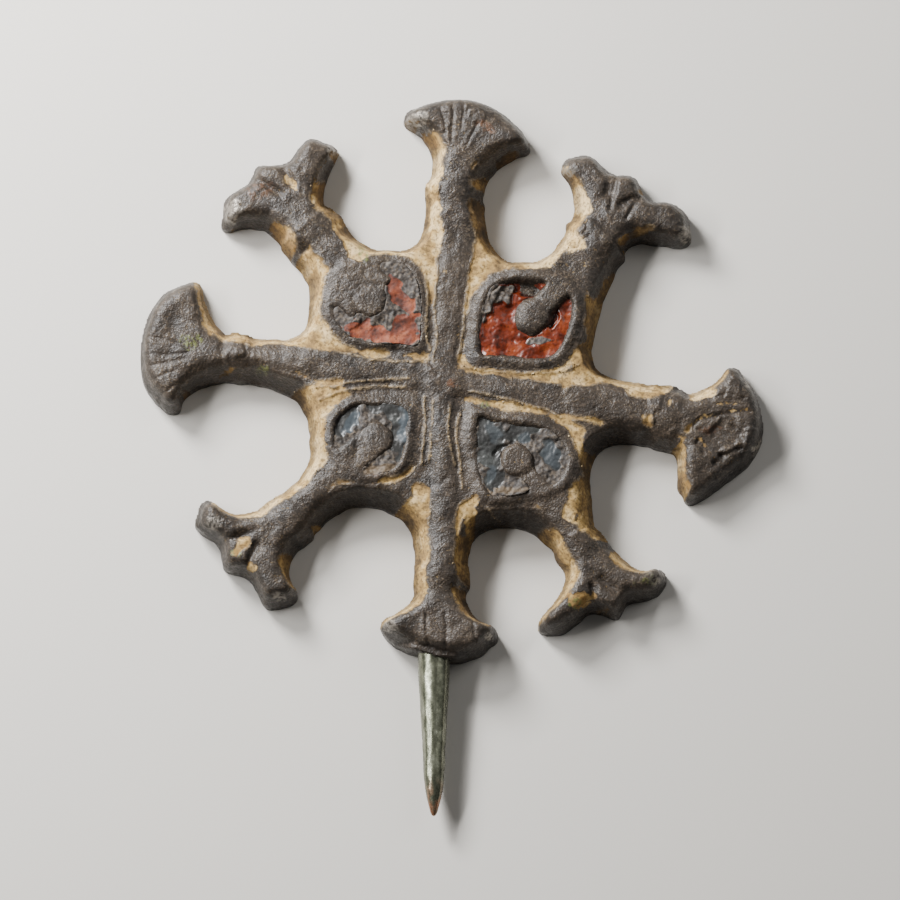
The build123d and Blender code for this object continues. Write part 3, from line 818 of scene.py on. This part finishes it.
# Pin
pin_sides = 64            # corners of a ring
pin_rings = 170
ring_crowding = 1.15      # over 1, the rings lie closer towards the tip
pin_clear = 5.0           # how far outside the pin its surface is looked for from
pin_wear = 0.03           # share of its radius that wear has taken
pin_facets = 8            # hammered facets round it
facet_edge = 0.014        # how far a facet's edges stand out, as a share of the radius
pin_dent = 0.012          # deepest dent
pin_pit = 0.006           # depth of a pit
DENT_SPAN = (14, 7)       # rings along a dent and corners round it, about
PIT_SPAN = (3, 2.5)       # the same for a pit


def pin_bumps(span):
    """Random bumps over the pin that span so many rings and corners, with a spread of 1."""
    waves_y = np.fft.fftfreq(pin_rings)[:, None]
    waves_x = np.fft.rfftfreq(pin_sides)[None, :]
    keep = np.exp(-((waves_y * span[0]) ** 2 + (waves_x * span[1]) ** 2))
    noise = rng.standard_normal((pin_rings, pin_sides))
    bumps = np.fft.irfft2(np.fft.rfft2(noise) * keep, noise.shape)
    return bumps / bumps.std()


def pin_piece():
    """The pin: the CAD pin's own section at each ring, with facets, dents and pits."""
    low, high = (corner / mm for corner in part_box("pin_shank"))
    tree = BVHTree.FromBMesh(merged("pin_shank"))
    axis_x, axis_z = (low.x + high.x) / 2, (low.z + high.z) / 2
    turns = np.arange(pin_sides) * 2 * math.pi / pin_sides
    shares = (np.arange(pin_rings) + 0.5) / pin_rings
    stations = low.y + (high.y - low.y) * shares ** ring_crowding
    radii = np.zeros((pin_rings, pin_sides))
    for ring, y in enumerate(stations):
        for side, turn in enumerate(turns):
            out = Vector((math.cos(turn), 0, math.sin(turn)))
            middle = Vector((axis_x, y, axis_z)) * mm
            hit = tree.ray_cast(middle + out * pin_clear * mm, -out)[0]
            radii[ring, side] = (hit - middle).length / mm
    radii *= 1 - pin_wear + facet_edge * np.cos(pin_facets * turns)[None, :]
    dents = np.clip(pin_bumps(DENT_SPAN), -1, 1)
    radii -= pin_dent * dents + pin_pit * np.abs(pin_bumps(PIT_SPAN))
    points = []
    for ring, y in enumerate(stations):
        for side, turn in enumerate(turns):
            radius = radii[ring, side]
            points.append((axis_x + radius * math.cos(turn), y, axis_z + radius * math.sin(turn)))
    tip_point, head_point = len(points), len(points) + 1
    points += [(axis_x, low.y, axis_z), (axis_x, high.y, axis_z)]
    faces = []
    last = (pin_rings - 1) * pin_sides
    for start in range(0, last, pin_sides):
        for side in range(pin_sides):
            here, beside = start + side, start + (side + 1) % pin_sides
            faces.append((here, beside, beside + pin_sides, here + pin_sides))
    for side in range(pin_sides):
        beside = (side + 1) % pin_sides
        faces.append((side, tip_point, beside))
        faces.append((last + side, last + beside, head_point))
    mesh = bpy.data.meshes.new("worn_pin")
    mesh.from_pydata([tuple(value * mm for value in point) for point in points], [], faces)
    shape = bmesh.new()
    shape.from_mesh(mesh)
    bmesh.ops.recalc_face_normals(shape, faces=shape.faces)
    shape.to_mesh(mesh)
    return smooth_piece("worn_pin", mesh)


# Materials. A Mix node names its sockets alike for numbers and colours, so those for colours
# go by their places.
SHARE, UNDER, OVER, MIXED = 0, 6, 7, 2


def srgb(code):
    """A hex colour as the linear values that a shader takes."""
    parts = [int(code[place:place + 2], 16) / 255 for place in (0, 2, 4)]
    linear = [part / 12.92 if part <= 0.04045 else ((part + 0.055) / 1.055) ** 2.4 for part in parts]
    return (*linear, 1)


def add_node(tree, kind, inputs=(), out=0, stops=(), **settings):
    """Add a node to a tree with its settings, and give one of its outputs. Each input takes a
    value, or the output of another node that feeds it. Stops are a ramp's, as places and
    hex colours."""
    node = tree.nodes.new(kind)
    for name, value in settings.items():
        setattr(node, name, value)
    for name, value in dict(inputs).items():
        if isinstance(value, bpy.types.NodeSocket):
            tree.links.new(value, node.inputs[name])
        else:
            node.inputs[name].default_value = value
    for _ in stops[2:]:
        node.color_ramp.elements.new(0.5)
    for number, (place, code) in enumerate(stops):
        node.color_ramp.elements[number].position = place
        node.color_ramp.elements[number].color = srgb(code)
    return node.outputs[out] if node.outputs else node


def new_finish(name):
    """An empty material, and the function that adds a node to it."""
    material = bpy.data.materials.new(name)
    material.use_nodes = True
    material.node_tree.nodes.clear()
    return material, partial(add_node, material.node_tree)


def crusted_bronze():
    """Cast bronze, long buried: a dark, finely pitted crust with a dull gloss over its tops, and
    matt cream to ochre earth where the crust has broken away. Worn tips show grey metal.
    Painted shade darkens its hollows and the feet of its flanks, and the earth's tone holds painted
    light and shade."""
    material, add = new_finish("crusted_cast_bronze")
    layer = {name: add("ShaderNodeAttribute", out="Fac", attribute_name=name)
             for name in CAST_LAYERS}

    # Grains, as their size in millimetres and their detail. The finest is drawn two pixels wide,
    # coarser than real dust, so that it shows.
    place = add("ShaderNodeTexCoord", out="Object")
    patch, coarse, fine, dirt, speck = (
        add("ShaderNodeTexNoise", {"Vector": place, "Scale": 1 / (size * mm), "Detail": detail,
                                   "Roughness": 0.55}, out="Fac")
        for size, detail in ((7.0, 3), (1.6, 4), (0.34, 4), (0.26, 4), (0.17, 2)))

    # Crust: near black in its pits and grey brown on their edges, under dust and a thin haze
    pits = add("ShaderNodeMapRange", {"Value": fine, "From Min": 0.32, "From Max": 0.68})
    crust = add("ShaderNodeValToRGB", {"Fac": pits}, stops=(
        (0.0, "151210"), (0.4, "231f1b"), (0.7, "362f29"), (1.0, "574d43")))
    blotch = add("ShaderNodeMapRange", {"Value": coarse, "From Min": 0.35, "From Max": 0.65})
    brown = add("ShaderNodeValToRGB", {"Fac": blotch}, stops=((0.0, "1f1a16"), (1.0, "3f352b")))
    dusty = add("ShaderNodeMapRange", {"Value": coarse, "From Min": 0.42, "From Max": 0.6,
                                       "To Max": 0.25})
    dust = add("ShaderNodeMapRange", {"Value": speck, "From Min": 0.56, "From Max": 0.66,
                                      "To Max": dusty})
    haze = add("ShaderNodeMapRange", {"Value": patch, "From Min": 0.42, "From Max": 0.62,
                                      "To Max": 0.16})
    for share, colour in ((0.4, brown), (dust, srgb("8c7b62")), (haze, srgb("5c5044"))):
        crust = add("ShaderNodeMix", {SHARE: share, UNDER: crust, OVER: colour}, out=MIXED,
                    data_type="RGBA")

    # Earth: mottled about the tone that the relief gives it, with ochre stains and dirt
    tone = layer["cream"]
    for grain, low, high, darker, lighter in (
            (fine, 0.3, 0.7, -0.14, 0.14), (coarse, 0.35, 0.65, -0.22, 0.1)):
        mottle = add("ShaderNodeMapRange", {"Value": grain, "From Min": low, "From Max": high,
                                            "To Min": darker, "To Max": lighter})
        tone = add("ShaderNodeMath", {0: tone, 1: mottle}, operation="ADD")
    earth = add("ShaderNodeValToRGB", {"Fac": tone}, stops=(
        (0.0, "2e2416"), (0.25, "5a472b"), (0.45, "80663e"), (0.66, "a2844f"), (1.0, "ccb182")))
    stain = add("ShaderNodeMapRange", {"Value": coarse, "From Min": 0.3, "From Max": 0.6,
                                       "To Min": 0.3})
    stain = add("ShaderNodeMath", {0: layer["ochre"], 1: stain}, operation="MULTIPLY")
    grime = add("ShaderNodeMapRange", {"Value": dirt, "From Min": 0.5, "From Max": 0.6,
                                       "To Max": 0.6})
    for share, code in ((stain, "7a5a2c"), (grime, "43331f")):
        earth = add("ShaderNodeMix", {SHARE: share, UNDER: earth, OVER: srgb(code)}, out=MIXED,
                    data_type="RGBA")

    # Crust over earth, with an edge that crumbles along its grains
    crumble = add("ShaderNodeMapRange", {"Value": fine, "From Min": 0.3, "From Max": 0.7,
                                         "To Min": -0.42, "To Max": 0.42})
    edge = add("ShaderNodeMath", {0: layer["crust"], 1: crumble}, operation="ADD")
    covered = add("ShaderNodeMapRange", {"Value": edge, "From Min": 0.3, "From Max": 0.7})
    colour = add("ShaderNodeMix", {SHARE: covered, UNDER: earth, OVER: crust}, out=MIXED,
                 data_type="RGBA")

    # What lies over both: torn lips, rust, green, painted shade in the hollows and at the feet
    # of the flanks, and rubbed metal, all but the painted shade broken up by the grains
    share = {"hollow": add("ShaderNodeMath", {0: layer["hollow"], 1: 0.5}, operation="MULTIPLY")}
    for name, least, most in (
            ("lip", 0.35, 0.7), ("rust", 0.40, 1), ("green", 0.45, 1), ("worn", 0.38, 1)):
        broken = add("ShaderNodeMapRange", {"Value": fine, "From Min": least, "From Max": 0.6,
                                            "To Max": most})
        share[name] = add("ShaderNodeMath", {0: layer[name], 1: broken}, operation="MULTIPLY")
    for name, code in (("lip", "a08a68"), ("rust", "593e2c"), ("green", "5d6432"),
                       ("hollow", "15100d"), ("worn", "938c82")):
        colour = add("ShaderNodeMix", {SHARE: share[name], UNDER: colour, OVER: srgb(code)},
                     out=MIXED, data_type="RGBA")
    metal = add("ShaderNodeMath", {0: share["worn"], 1: 0.8}, operation="MULTIPLY")

    # Matt earth and a crust that shines dully on its grains, which stand out in fine relief
    gloss = add("ShaderNodeMapRange", {"Value": fine, "From Min": 0.35, "From Max": 0.65,
                                       "To Min": 0.52, "To Max": 0.34})
    rough = add("ShaderNodeMapRange", {"Value": covered, "To Min": 0.85, "To Max": gloss})
    grains = add("ShaderNodeMapRange", {"Value": fine, "From Min": 0.3, "From Max": 0.7,
                                        "To Max": 0.6})
    specks = add("ShaderNodeMapRange", {"Value": speck, "From Min": 0.3, "From Max": 0.7,
                                        "To Max": 0.4})
    lift = add("ShaderNodeMath", {0: grains, 1: specks}, operation="ADD")
    strength = add("ShaderNodeMapRange", {"Value": covered, "To Min": 0.2})
    bump = add("ShaderNodeBump", {"Height": lift, "Distance": 0.045 * mm, "Strength": strength})
    shader = add("ShaderNodeBsdfPrincipled", {
        "Base Color": colour, "Roughness": rough, "Metallic": metal, "Normal": bump,
        "Specular IOR Level": 0.35})
    add("ShaderNodeOutputMaterial", {"Surface": shader})
    return material


def glass_enamel(name, body, light, deep, pale, rough_whole):
    """Old enamel, which is opaque glass melted into its cell: smooth where it is whole, and
    crazed, dull and brown where it has decayed."""
    material, add = new_finish(name)
    layer = {kind: add("ShaderNodeAttribute", out="Fac", attribute_name=kind)
             for kind in ENAMEL_LAYERS}
    place = add("ShaderNodeTexCoord", out="Object")
    coarse, fine = (
        add("ShaderNodeTexNoise", {"Vector": place, "Scale": 1 / (size * mm), "Detail": 4,
                                   "Roughness": 0.55}, out="Fac")
        for size in (1.1, 0.3))

    # Whole glass, clouded, with dark flecks and pale crazed stretches
    cloud = add("ShaderNodeMapRange", {"Value": coarse, "From Min": 0.3, "From Max": 0.7})
    glass = add("ShaderNodeValToRGB", {"Fac": cloud}, stops=((0.0, deep), (0.5, body), (1.0, light)))
    fleck = add("ShaderNodeMapRange", {"Value": fine, "From Min": 0.54, "From Max": 0.66,
                                       "To Max": 0.6})
    crazed = add("ShaderNodeMath", {0: layer["pale"], 1: 0.8}, operation="MULTIPLY")
    for share, code in ((fleck, deep), (crazed, pale)):
        glass = add("ShaderNodeMix", {SHARE: share, UNDER: glass, OVER: srgb(code)}, out=MIXED,
                    data_type="RGBA")

    # Decay, stained with ochre
    crumb = add("ShaderNodeMapRange", {"Value": fine, "From Min": 0.3, "From Max": 0.7})
    decayed = add("ShaderNodeValToRGB", {"Fac": crumb}, stops=(
        (0.0, "171310"), (0.5, "322b25"), (1.0, "5e5346")))
    decayed = add("ShaderNodeMix", {SHARE: layer["ochre"], UNDER: decayed, OVER: srgb("6b5638")},
                  out=MIXED, data_type="RGBA")

    # Glass where the layer says, with a crumbled edge, and painted shade, near black, in its deep
    # pits
    crumble = add("ShaderNodeMapRange", {"Value": fine, "From Min": 0.3, "From Max": 0.7,
                                         "To Min": -0.25, "To Max": 0.25})
    edge = add("ShaderNodeMath", {0: layer["glass"], 1: crumble}, operation="ADD")
    whole = add("ShaderNodeMapRange", {"Value": edge, "From Min": 0.45, "From Max": 0.6})
    colour = decayed
    for share, over in ((whole, glass), (layer["dark"], srgb("0b0706"))):
        colour = add("ShaderNodeMix", {SHARE: share, UNDER: colour, OVER: over}, out=MIXED,
                     data_type="RGBA")
    rough = add("ShaderNodeMapRange", {"Value": whole, "To Min": 0.65, "To Max": rough_whole})
    strength = add("ShaderNodeMapRange", {"Value": whole, "To Min": 0.9, "To Max": rough_whole})
    bump = add("ShaderNodeBump", {"Height": fine, "Distance": 0.04 * mm, "Strength": strength})
    shader = add("ShaderNodeBsdfPrincipled", {
        "Base Color": colour, "Roughness": rough, "Normal": bump})
    add("ShaderNodeOutputMaterial", {"Surface": shader})
    return material


copper_start = 3.3        # how far from the pin's tip its coppery metal starts
copper_full = 0.8         # and where it is at its most


def rubbed_bronze():
    """Hammered and rubbed bronze pin: a dark grey-green skin polished by wear, with corrosion
    freckles, and coppery metal at its tip."""
    material, add = new_finish("rubbed_pin_bronze")
    place = add("ShaderNodeTexCoord", out="Object")
    long = add("ShaderNodeMapping", {"Vector": place, "Scale": (1, 0.45, 1)})
    drawn = add("ShaderNodeTexNoise", {"Vector": long, "Scale": 1 / (0.5 * mm), "Detail": 5},
                out="Fac")
    fine = add("ShaderNodeTexNoise", {"Vector": place, "Scale": 1 / (0.24 * mm), "Detail": 4,
                                      "Roughness": 0.55}, out="Fac")
    skin = add("ShaderNodeMapRange", {"Value": drawn, "From Min": 0.3, "From Max": 0.7})
    colour = add("ShaderNodeValToRGB", {"Fac": skin}, stops=(
        (0.0, "505245"), (0.5, "6b6d5c"), (1.0, "8b8d7c")))
    freckle = add("ShaderNodeMapRange", {"Value": fine, "From Min": 0.6, "From Max": 0.68,
                                         "To Max": 0.45})
    along = add("ShaderNodeSeparateXYZ", {"Vector": place}, out="Y")
    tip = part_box("pin_shank")[0].y
    by_tip = add("ShaderNodeMapRange", {"Value": along, "From Min": tip + copper_start * mm,
                                        "From Max": tip + copper_full * mm})
    copper = add("ShaderNodeMapRange", {"Value": drawn, "From Min": 0.4, "From Max": 0.6,
                                        "To Max": by_tip})
    for share, code in ((freckle, "3a382f"), (copper, "8f6044")):
        colour = add("ShaderNodeMix", {SHARE: share, UNDER: colour, OVER: srgb(code)}, out=MIXED,
                     data_type="RGBA")
    rough = add("ShaderNodeMapRange", {"Value": fine, "From Min": 0.3, "From Max": 0.7,
                                       "To Min": 0.2, "To Max": 0.36})
    bump = add("ShaderNodeBump", {"Height": drawn, "Distance": 0.03 * mm, "Strength": 0.3})
    shader = add("ShaderNodeBsdfPrincipled", {
        "Base Color": colour, "Roughness": rough, "Metallic": 0.7, "Normal": bump})
    add("ShaderNodeOutputMaterial", {"Surface": shader})
    return material


def loose_earth():
    """Crumbs of dried earth: matt, cream to ochre, one lighter than the next."""
    material, add = new_finish("loose_dry_earth")
    place = add("ShaderNodeTexCoord", out="Object")
    blotch = add("ShaderNodeTexNoise", {"Vector": place, "Scale": 1 / (0.8 * mm), "Detail": 4,
                                        "Roughness": 0.55}, out="Fac")
    tone = add("ShaderNodeMapRange", {"Value": blotch, "From Min": 0.35, "From Max": 0.65})
    colour = add("ShaderNodeValToRGB", {"Fac": tone}, stops=(
        (0.0, "4d3d2a"), (0.5, "8a7350"), (1.0, "c4b08a")))
    shader = add("ShaderNodeBsdfPrincipled", {"Base Color": colour, "Roughness": 0.9})
    add("ShaderNodeOutputMaterial", {"Surface": shader})
    return material


# Crumbs of earth that cling along the crust's torn edge
crumbs_per_area = 2.2     # crumbs on each square millimetre of torn edge
crumb_radius = 0.085
crumb_least = (0.4, 0.4, 0.3)  # a crumb's radii, as shares of that one
crumb_most = (1.5, 1.2, 0.9)
crumb_seed = 3


def crumb_tree(material):
    """Nodes that strew lumps over a mesh, as thick as its lip layer is strong."""
    tree = bpy.data.node_groups.new("strewn_crumbs", "GeometryNodeTree")
    inputs = (("Mesh", "Geometry"), ("Crumbs per area", "Float"), ("Crumb radius", "Float"),
              ("Seed", "Int"))
    for name, kind in inputs:
        tree.interface.new_socket(name, in_out="INPUT", socket_type="NodeSocket" + kind)
    tree.interface.new_socket("Mesh", in_out="OUTPUT", socket_type="NodeSocketGeometry")
    add = partial(add_node, tree)
    given = tree.nodes.new("NodeGroupInput").outputs
    lip = add("GeometryNodeInputNamedAttribute", {"Name": "lip"}, data_type="FLOAT")
    amount = add("ShaderNodeMath", {0: lip, 1: given["Crumbs per area"]}, operation="MULTIPLY")
    points = add("GeometryNodeDistributePointsOnFaces", {
        "Mesh": given["Mesh"], "Density": amount, "Seed": given["Seed"]})
    lump = add("GeometryNodeMeshIcoSphere", {"Radius": given["Crumb radius"], "Subdivisions": 2})
    turn, size = (
        add("FunctionNodeRandomValue", {0: least, 1: most, "Seed": given["Seed"]},
            data_type="FLOAT_VECTOR")
        for least, most in (((0, 0, 0), (math.tau, math.tau, math.tau)), (crumb_least, crumb_most)))
    placed = add("GeometryNodeInstanceOnPoints", {
        "Points": points, "Instance": lump, "Rotation": turn, "Scale": size})
    plain = add("GeometryNodeRealizeInstances", {"Geometry": placed})
    dressed = add("GeometryNodeSetMaterial", {"Geometry": plain, "Material": material})
    add("NodeGroupOutput", {"Mesh": dressed})
    return tree


def crumb_piece(bearer):
    """The crumbs that cling to a piece, as one plain mesh of their own."""
    tree = crumb_tree(loose_earth())
    strewn = bpy.data.objects.new("strewn", bearer.data)
    bpy.context.collection.objects.link(strewn)
    modifier = strewn.modifiers.new("strewn_crumbs", "NODES")
    modifier.node_group = tree
    values = {"Crumbs per area": crumbs_per_area / mm ** 2, "Crumb radius": crumb_radius * mm,
              "Seed": crumb_seed}
    for socket in tree.interface.items_tree:
        if socket.name in values:
            modifier[socket.identifier] = values[socket.name]
    made = bpy.context.evaluated_depsgraph_get()
    mesh = bpy.data.meshes.new_from_object(strewn.evaluated_get(made), depsgraph=made)
    mesh.name = "clinging_earth"

    # No crumb reaches under the floor
    for corner in mesh.vertices:
        corner.co.z = max(corner.co.z, cad_low.z)
    strewn.modifiers.remove(modifier)
    bpy.data.objects.remove(strewn)
    return smooth_piece("clinging_earth", mesh)


def dress(piece, material, node):
    """Give a piece its finish and put it in the CAD node's place."""
    piece.data.materials.append(material)
    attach(piece, "root")
    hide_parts(node)


cast = cast_relief()
sway = uneven_sway(cast)
casting = relief_piece("crusted_casting", cast, CAST_LAYERS, cast_back_step, sway)
dress(casting, crusted_bronze(), "cast_cross")
crumbs = crumb_piece(casting)
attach(crumbs, "root")
dull_red = glass_enamel("dull_red_glass_enamel", body="682b0f", light="8a4b2b", deep="33140a",
                        pale="a87f6a", rough_whole=0.7)
red = glass_enamel("red_glass_enamel", body="5c1e08", light="7b3719", deep="260d05",
                   pale="b08a7a", rough_whole=0.34)
blue = glass_enamel("blue_glass_enamel", body="2c2c2b", light="3b3d3b", deep="201f1d",
                    pale="454d53", rough_whole=0.4)
ENAMELS = {"enamel_upper_left": (dull_red, "red_enamel"),
           "enamel_upper_right": (red, "red_enamel"),
           "enamel_lower_left": (blue, "blue_enamel"),
           "enamel_lower_right": (blue, "blue_enamel")}
for name, (glass, slot) in ENAMELS.items():
    enamel = relief_piece(name.replace("enamel", "glass"), enamel_relief(name), ENAMEL_LAYERS,
                          enamel_back_step, sway)
    dress(enamel, glass, name)
dress(pin_piece(), rubbed_bronze(), "pin_shank")

# Floor, lamps and camera, in metres and watts
floor_half = 1.5
view_middle = 0.002       # height of the badge's middle, which the camera looks at
lens = 500                # millimetres
sensor = 36               # millimetres
sky_colour = "e6e6e6"
sky_strength = 0.11
Lamp = namedtuple("Lamp", "name place aim size power")
LAMPS = (
    Lamp("key", (-0.105, 0.115, 0.105), (0, -0.005, 0), (0.06, 0.06), 1.1),
    # Long and narrow, for the streak of light along the pin
    Lamp("strip", (-0.16, 0.024, 0.156), (0, -0.028, 0), (0.14, 0.02), 0.45),
    Lamp("fill", (0.24, 0.14, 0.22), (0, -0.005, 0), (0.2, 0.2), 0.3),
)


def floor_piece():
    """A plain pale floor under the badge."""
    shape = bmesh.new()
    bmesh.ops.create_grid(shape, x_segments=1, y_segments=1, size=floor_half)
    mesh = bpy.data.meshes.new("floor")
    shape.to_mesh(mesh)
    material, add = new_finish("pale_floor")
    shader = add("ShaderNodeBsdfPrincipled", {"Base Color": srgb("cfcbc4"), "Roughness": 0.75})
    add("ShaderNodeOutputMaterial", {"Surface": shader})
    mesh.materials.append(material)
    floor = bpy.data.objects.new("floor", mesh)
    bpy.context.collection.objects.link(floor)


def soft_lights():
    """Soft lamps that look at their aims, and a faint even sky."""
    for lamp in LAMPS:
        data = bpy.data.lights.new(lamp.name, "AREA")
        data.shape = "RECTANGLE"
        data.size, data.size_y = lamp.size
        data.energy = lamp.power
        stand = bpy.data.objects.new(lamp.name, data)
        stand.location = lamp.place
        sight = Vector(lamp.aim) - Vector(lamp.place)
        stand.rotation_euler = sight.to_track_quat("-Z", "Y").to_euler()
        bpy.context.collection.objects.link(stand)
    world = bpy.data.worlds.new("studio")
    world.use_nodes = True
    sky = world.node_tree.nodes["Background"].inputs
    sky["Color"].default_value = srgb(sky_colour)
    sky["Strength"].default_value = sky_strength
    bpy.context.scene.world = world


def camera_view():
    """A long lens at the photograph's angle, framed as the photograph is."""
    middle_x = (photo_middle - hub_photo[0]) * photo_pixel * mm
    seen_y = (hub_photo[1] - photo_middle) * photo_pixel * mm
    middle_y = (seen_y - view_lean * view_middle) / view_rise
    away = 2 * photo_middle * photo_pixel * mm * lens / sensor
    data = bpy.data.cameras.new("camera")
    data.lens, data.sensor_width = lens, sensor
    camera = bpy.data.objects.new("camera", data)
    aim = Vector((middle_x, middle_y, view_middle))
    camera.location = aim + Vector((0, -view_lean, view_rise)) * away
    camera.rotation_euler = (math.radians(90 - view_height), 0, 0)
    bpy.context.collection.objects.link(camera)
    bpy.context.scene.camera = camera


floor_piece()
soft_lights()
camera_view()
